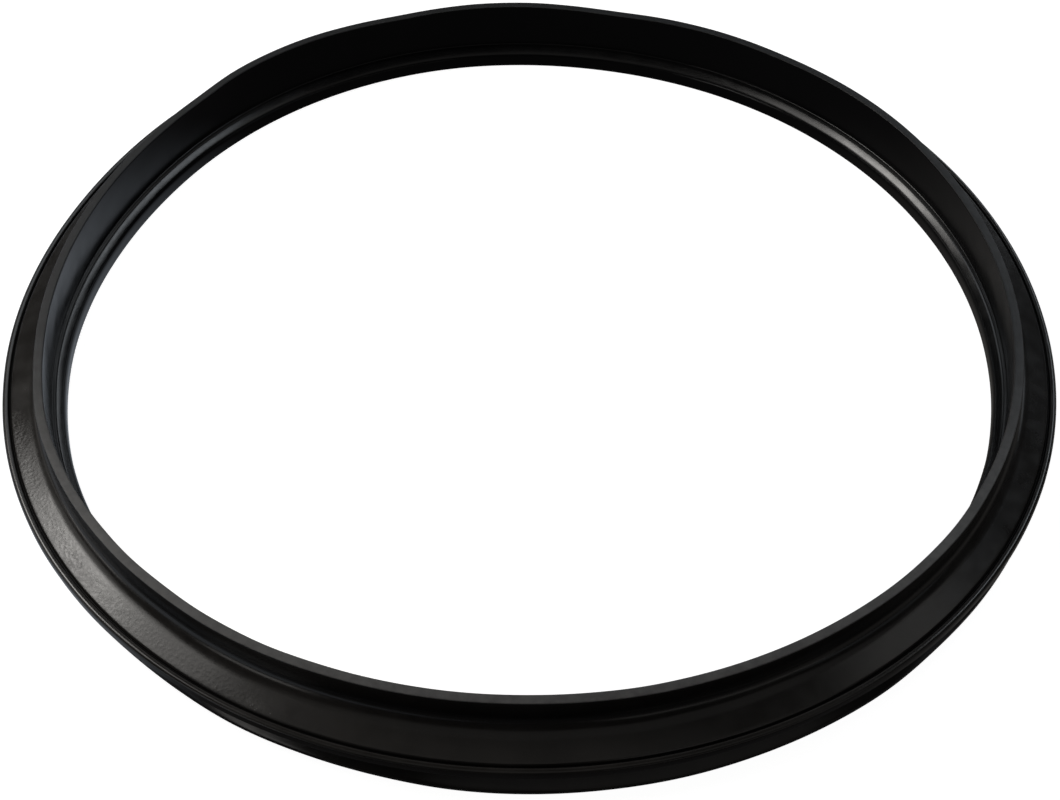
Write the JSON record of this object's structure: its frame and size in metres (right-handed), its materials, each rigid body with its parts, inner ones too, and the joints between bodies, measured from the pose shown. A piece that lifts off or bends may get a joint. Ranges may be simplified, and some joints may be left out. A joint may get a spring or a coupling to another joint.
{
  "type": "pressure cooker sealing ring",
  "caption": "Moulded rubber lid gasket: a round ring with an upright sealing lip, a sloping flange with an outer bead, a rounded heel and a flared lower lip.",
  "frame": {"origin": "on the ring's axis, in the plane of the flat underside of its base", "axes": "+Z along the ring's axis, towards the edge of the upper lip; X and Y are any two diameters"},
  "size_m": [0.242, 0.242, 0.0175],
  "materials": {
    "rubber": "satin"
  },
  "bodies": {
    "root": {"sealing_ring": "rubber"}
  },
  "joints": []
}
